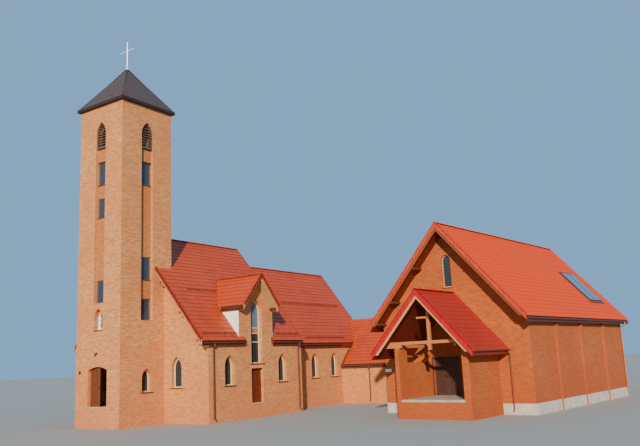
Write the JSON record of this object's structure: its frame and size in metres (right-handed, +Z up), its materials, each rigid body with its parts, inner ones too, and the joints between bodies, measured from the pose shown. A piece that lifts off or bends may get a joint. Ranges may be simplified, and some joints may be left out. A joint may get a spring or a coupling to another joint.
{
  "type": "church building",
  "caption": "Brick village church with a square tower, a gabled side bay, a chancel, a link wing and a hall with a porch.",
  "frame": {"origin": "middle of the plan's box, at the lowest ground that the walls meet", "axes": "+X east along the nave's ridge, from the tower to the chancel; +Y north; +Z up"},
  "size_m": [27.6938, 29.268, 24.14],
  "materials": {
    "brick": "matt salmon brick",
    "hall_brick": "matt orange brick",
    "roof_tile": "matt clay tile",
    "dark_tile": "matt dark tile",
    "render": "white render",
    "glass": "clear window glass",
    "wood": "varnished brown wood",
    "timber": "pale timber",
    "floor": "plain floor slab",
    "steel": "bright brushed metal",
    "collector": "dark collector glass",
    "gutter": "brown coated gutter",
    "plaster": "white cast figure"
  },
  "bodies": {
    "church": {"bay_cheek_east": "render", "bay_cheek_west": "render", "bay_gable": "brick", "bay_glass": "glass", "bay_pier_east": "brick", "bay_pier_west": "brick", "bay_roof": "roof_tile", "chancel_glass_north": "glass", "chancel_glass_south": "glass", "chancel_roof": "roof_tile", "chancel_walls": "brick", "church_floor": "floor", "hall_door_sill": "floor", "hall_floor": "floor", "hall_glass": "glass", "hall_gutter_south": "gutter", "hall_roof": "roof_tile", "hall_verge_east": "timber", "hall_walls": "hall_brick", "hall_west_gable": "hall_brick", "hall_west_pier_north": "hall_brick", "hall_west_pier_south": "hall_brick", "link_east_walls": "brick", "link_roof": "roof_tile", "link_west_wall": "brick", "nave_east_wall": "brick", "nave_glass_north": "glass", "nave_glass_southeast": "glass", "nave_glass_southwest": "glass", "nave_gutter_north": "gutter", "nave_north_walls": "brick", "nave_roof": "roof_tile", "nave_southeast_wall": "brick", "nave_southwest_walls": "brick", "porch_floor": "floor", "porch_north_wall": "hall_brick", "porch_roof": "roof_tile", "porch_south_wall": "hall_brick", "porch_truss": "timber", "side_door_sill": "floor", "solar_panel": "collector", "statue": "plaster", "tower_cross": "steel", "tower_door_arch": "brick", "tower_door_lintel": "brick", "tower_door_pier_north": "brick", "tower_door_pier_south": "brick", "tower_door_sill": "floor", "tower_east_wall": "brick", "tower_glass": "glass", "tower_north_wall": "brick", "tower_roof": "dark_tile", "tower_south_wall": "brick", "tower_west_wall": "brick"},
    "main_door_north": {"main_door_north": "wood"},
    "main_door_south": {"main_door_south": "wood"},
    "side_door": {"side_door": "wood"},
    "hall_door_north": {"hall_door_north": "wood"},
    "hall_door_south": {"hall_door_south": "wood"}
  },
  "joints": [
    {"name": "main_door_north_hinge", "type": "hinge", "parent": "church", "child": "main_door_north", "pos_m": [-13.43194, 9.614, 1.2], "axis": [0, 0, 1], "range_deg": [0, 90]},
    {"name": "main_door_south_hinge", "type": "hinge", "parent": "church", "child": "main_door_south", "pos_m": [-13.43194, 8.004, 1.2], "axis": [0, 0, 1], "range_deg": [-10, 80]},
    {"name": "side_door_hinge", "type": "hinge", "parent": "church", "child": "side_door", "pos_m": [-6.56194, 3.464, 0.9], "axis": [0, 0, 1], "range_deg": [-90, 0]},
    {"name": "hall_door_south_hinge", "type": "hinge", "parent": "church", "child": "hall_door_south", "pos_m": [-2.37342, -8.49948, 1], "axis": [0, 0, 1], "range_deg": [-90, 0]},
    {"name": "hall_door_north_hinge", "type": "hinge", "parent": "church", "child": "hall_door_north", "pos_m": [-2.24646, -6.95468, 1], "axis": [0, 0, 1], "range_deg": [0, 90]}
  ]
}
